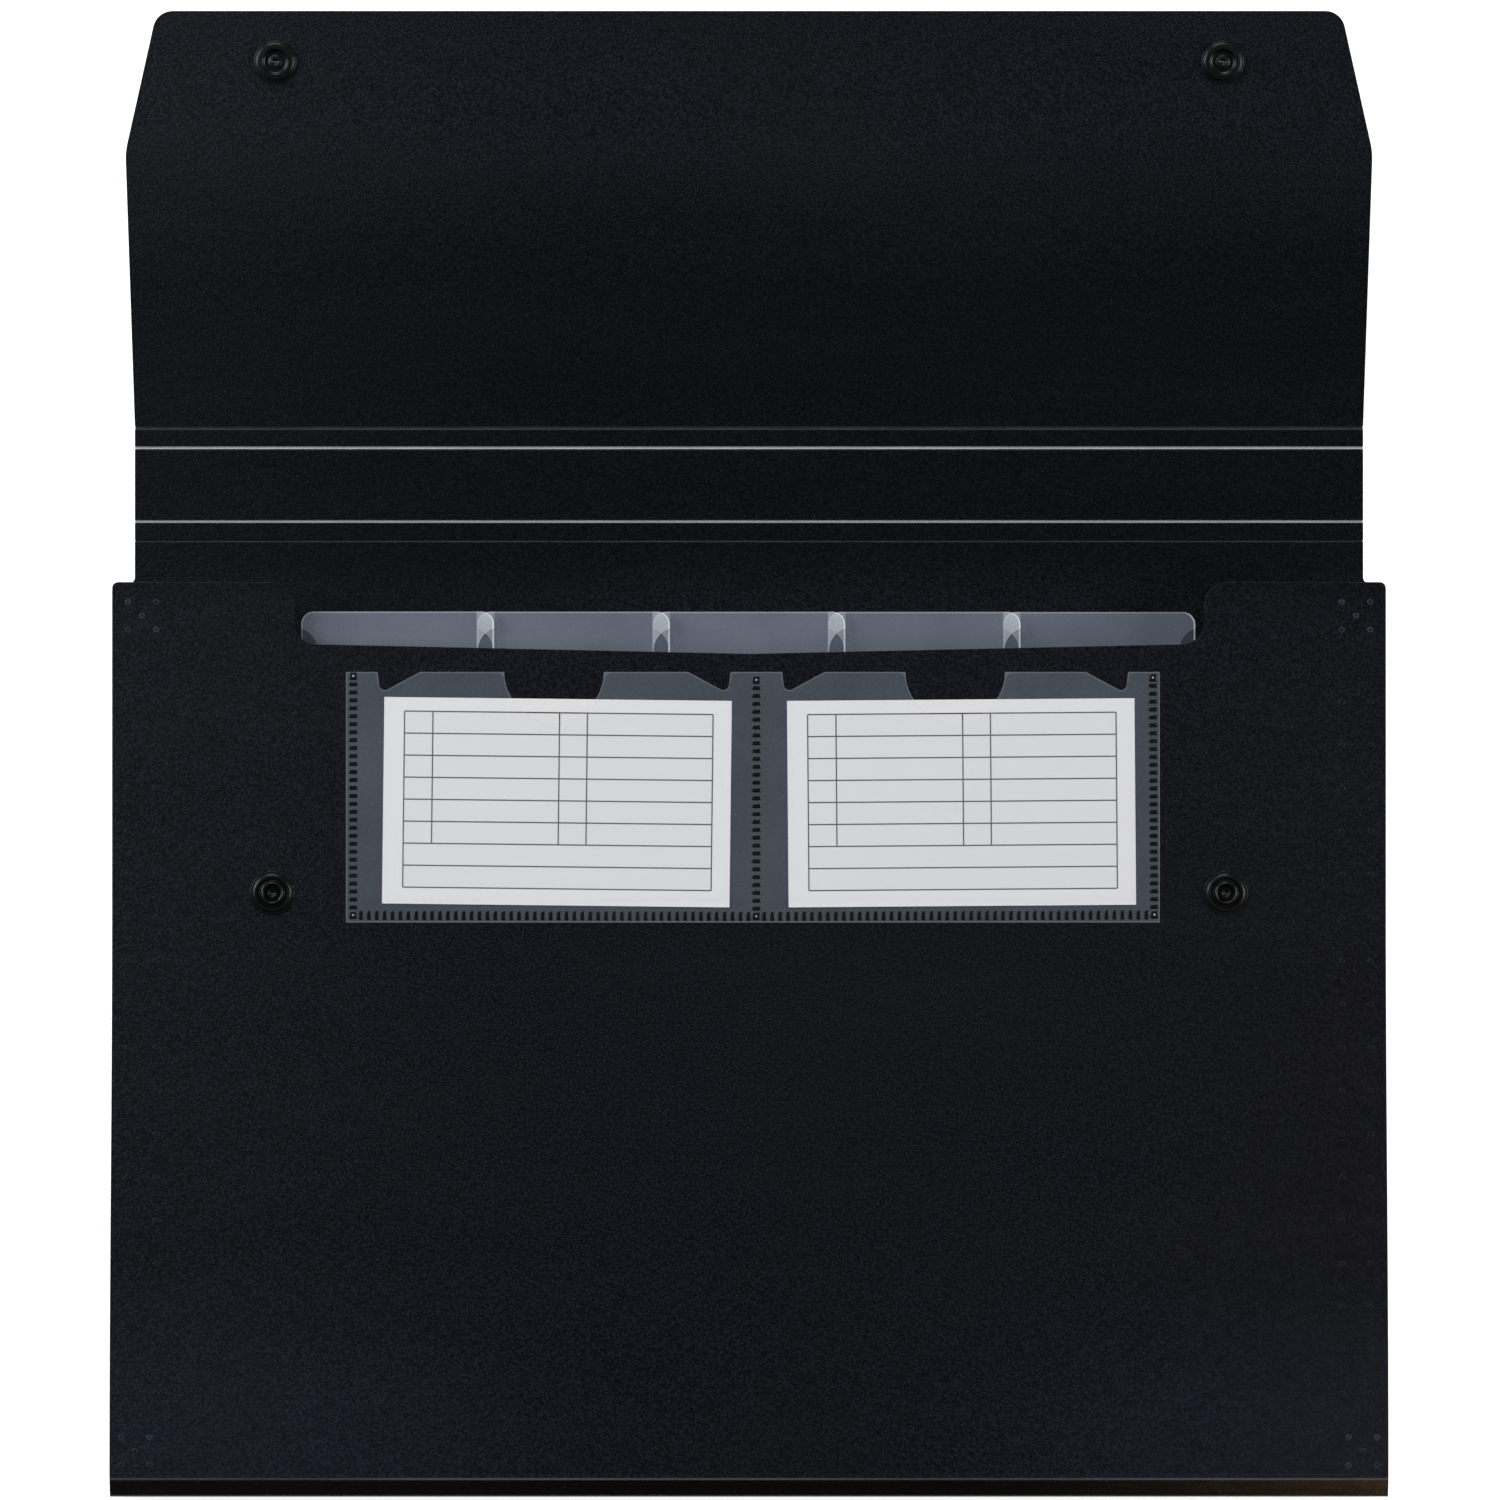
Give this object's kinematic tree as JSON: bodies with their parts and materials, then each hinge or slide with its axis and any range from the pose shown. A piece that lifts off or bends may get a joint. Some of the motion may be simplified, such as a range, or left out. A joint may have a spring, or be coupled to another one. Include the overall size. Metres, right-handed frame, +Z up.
{
  "type": "expanding file folder",
  "caption": "Black plastic expanding file lying open, with folding flap, snap fasteners, tabbed translucent dividers, pleated side gussets and clear card pockets.",
  "frame": {"origin": "on the resting surface, under the middle of the folder's outline with its flap open", "axes": "+X across the folder, +Y from its bottom towards the open flap, +Z up from the surface it lies on"},
  "size_m": [0.33, 0.3864, 0.0239],
  "materials": {
    "sheet": "fine sand grain, soft sheen",
    "gusset_film": "thin film, satin",
    "snap": "polished moulding",
    "divider_film": "frosted translucent film",
    "label_film": "clear film sleeve",
    "pocket_film": "clear film",
    "card": "smooth uncoated card with a ruled table"
  },
  "bodies": {
    "shell": {"outer_shell": "sheet", "front_stud_left": "snap", "front_stud_right": "snap", "front_cap_left": "snap", "front_cap_right": "snap", "left_gusset": "gusset_film", "right_gusset": "gusset_film", "divider_1": "divider_film", "divider_2": "divider_film", "divider_3": "divider_film", "divider_4": "divider_film", "divider_5": "divider_film", "tab_label_1": "label_film", "tab_label_2": "label_film", "tab_label_3": "label_film", "tab_label_4": "label_film", "tab_label_5": "label_film", "card_pocket": "pocket_film", "card_left": "card", "card_right": "card"},
    "rear_strip": {"rear_fold_strip": "sheet"},
    "spine": {"spine_panel": "sheet"},
    "front_strip": {"front_fold_strip": "sheet"},
    "flap": {"closing_flap": "sheet", "flap_socket_left": "snap", "flap_socket_right": "snap", "flap_cap_left": "snap", "flap_cap_right": "snap"}
  },
  "joints": [
    {"name": "rear_strip_fold", "type": "hinge", "parent": "shell", "child": "rear_strip", "pos_m": [0, 0.05488, 0], "axis": [1, 0, 0], "range_deg": [0, 35]},
    {"name": "spine_fold", "type": "hinge", "parent": "rear_strip", "child": "spine", "pos_m": [0, 0.06008, 0], "axis": [1, 0, 0], "range_deg": [0, 45]},
    {"name": "front_strip_fold", "type": "hinge", "parent": "spine", "child": "front_strip", "pos_m": [0, 0.07928, 0], "axis": [1, 0, 0], "range_deg": [0, 55]},
    {"name": "flap_fold", "type": "hinge", "parent": "front_strip", "child": "flap", "pos_m": [0, 0.08448, 0], "axis": [1, 0, 0], "range_deg": [0, 44.24]}
  ]
}
